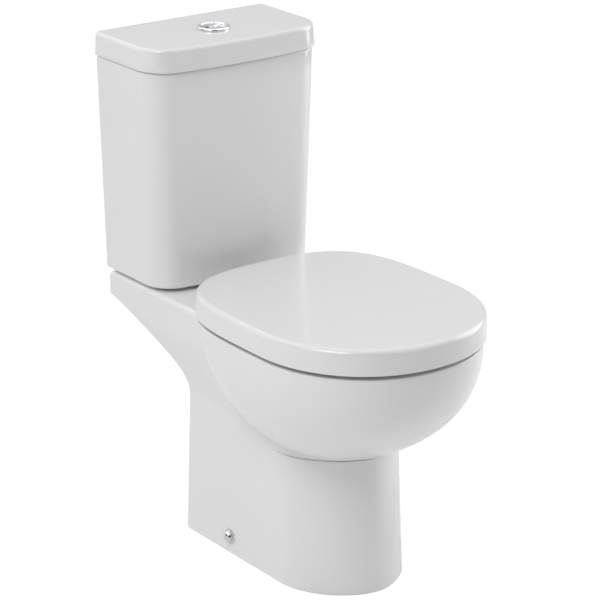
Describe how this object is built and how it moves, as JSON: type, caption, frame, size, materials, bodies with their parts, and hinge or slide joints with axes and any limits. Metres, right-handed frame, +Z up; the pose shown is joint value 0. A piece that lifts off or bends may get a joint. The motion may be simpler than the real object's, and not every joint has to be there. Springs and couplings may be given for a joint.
{
  "type": "close coupled toilet",
  "caption": "Close coupled toilet with an open-backed pan, a cistern with twin push buttons, and a wrap-over seat and cover on a rear hinge.",
  "frame": {"origin": "on the floor under the middle of the outline, which runs from the wall face of the cistern to the front of the seat cover", "axes": "+X across to the side of the fill valve, +Y towards the wall behind, +Z up"},
  "size_m": [0.36, 0.645, 0.784],
  "materials": {
    "glazed_china": "white vitreous glaze, high gloss",
    "seat_white": "white moulded urea, smooth gloss",
    "chrome": "polished chrome plate",
    "white_plastic": "moulded white plastic",
    "grey_plastic": "moulded grey plastic",
    "blue_plastic": "moulded blue plastic",
    "steel": "plain stainless steel",
    "brass": "turned brass",
    "rubber": "black moulded rubber"
  },
  "bodies": {
    "toilet": {"pan": "glazed_china", "pan_rim": "glazed_china", "pan_bowl": "glazed_china", "pan_trap": "glazed_china", "cistern": "glazed_china", "cistern_lid": "glazed_china", "button_bezel": "chrome", "button_lock_nut": "grey_plastic", "full_button_spring": "steel", "half_button_spring": "steel", "flush_valve_base": "white_plastic", "flush_valve_tower": "blue_plastic", "flush_valve_gasket": "rubber", "flush_valve_backnut": "white_plastic", "coupling_gasket": "rubber", "coupling_bolts": "brass", "coupling_seals": "rubber", "coupling_washers": "steel", "coupling_wing_nuts": "brass", "fill_valve_shank": "white_plastic", "fill_valve_seal": "rubber", "fill_valve_backnut": "white_plastic", "fill_valve_head": "grey_plastic", "fill_valve_lever_pin": "steel", "hinge_blocks": "seat_white", "hinge_pins": "steel", "hinge_studs": "steel", "hinge_washers": "rubber", "hinge_wing_nuts": "white_plastic", "floor_brackets": "white_plastic", "side_screws": "steel", "screw_cap_washers": "chrome", "screw_caps": "chrome"},
    "seat_body": {"seat": "seat_white", "seat_buffers": "seat_white"},
    "cover_body": {"seat_cover": "seat_white", "cover_buffers": "seat_white"},
    "full_button": {"full_flush_button": "chrome", "full_flush_rod": "grey_plastic"},
    "half_button": {"half_flush_button": "chrome", "half_flush_rod": "grey_plastic"},
    "full_plunger": {"full_flush_plunger": "grey_plastic"},
    "half_plunger": {"half_flush_plunger": "grey_plastic"},
    "flush_tube": {"flush_valve_tube": "white_plastic", "flush_valve_float": "grey_plastic", "flush_valve_seal": "rubber"},
    "fill_float": {"fill_valve_float": "grey_plastic"},
    "fill_lever": {"fill_valve_lever": "white_plastic"}
  },
  "joints": [
    {"name": "seat_hinge", "type": "hinge", "parent": "toilet", "child": "seat_body", "pos_m": [0, 0.0985, 0.422], "axis": [-1, 0, 0], "range_deg": [0, 95]},
    {"name": "cover_hinge", "type": "hinge", "parent": "seat_body", "child": "cover_body", "pos_m": [0, 0.0985, 0.422], "axis": [1, 0, 0], "range_deg": [-95, 0]},
    {"name": "full_button_press", "type": "slide", "parent": "toilet", "child": "full_button", "axis": [0, 0, -1], "range_m": [0, 0.008], "stiffness_N_per_m": 300, "springref_m": -0.004, "deforming": ["full_button_spring"]},
    {"name": "half_button_press", "type": "slide", "parent": "toilet", "child": "half_button", "axis": [0, 0, -1], "range_m": [0, 0.008], "stiffness_N_per_m": 300, "springref_m": -0.004, "deforming": ["half_button_spring"]},
    {"name": "full_plunger_push", "type": "slide", "parent": "toilet", "child": "full_plunger", "axis": [0, 0, -1], "range_m": [0, 0.008]},
    {"name": "half_plunger_push", "type": "slide", "parent": "toilet", "child": "half_plunger", "axis": [0, 0, -1], "range_m": [0, 0.008]},
    {"name": "flush_valve_lift", "type": "slide", "parent": "toilet", "child": "flush_tube", "axis": [0, 0, 1], "range_m": [0, 0.02]},
    {"name": "float_rise", "type": "slide", "parent": "toilet", "child": "fill_float", "axis": [0, 0, 1], "range_m": [0, 0.012]},
    {"name": "fill_lever_turn", "type": "hinge", "parent": "toilet", "child": "fill_lever", "pos_m": [0.106, 0.2405, 0.707], "axis": [-1, 0, 0], "range_deg": [0, 25]}
  ],
  "couplings": [
    {"joint": "full_plunger_push", "follows": "full_button_press", "ratio": 1},
    {"joint": "half_plunger_push", "follows": "half_button_press", "ratio": 1},
    {"joint": "flush_valve_lift", "follows": "full_button_press", "ratio": 2.5},
    {"joint": "fill_lever_turn", "follows": "float_rise", "rad_per_m": 36}
  ]
}
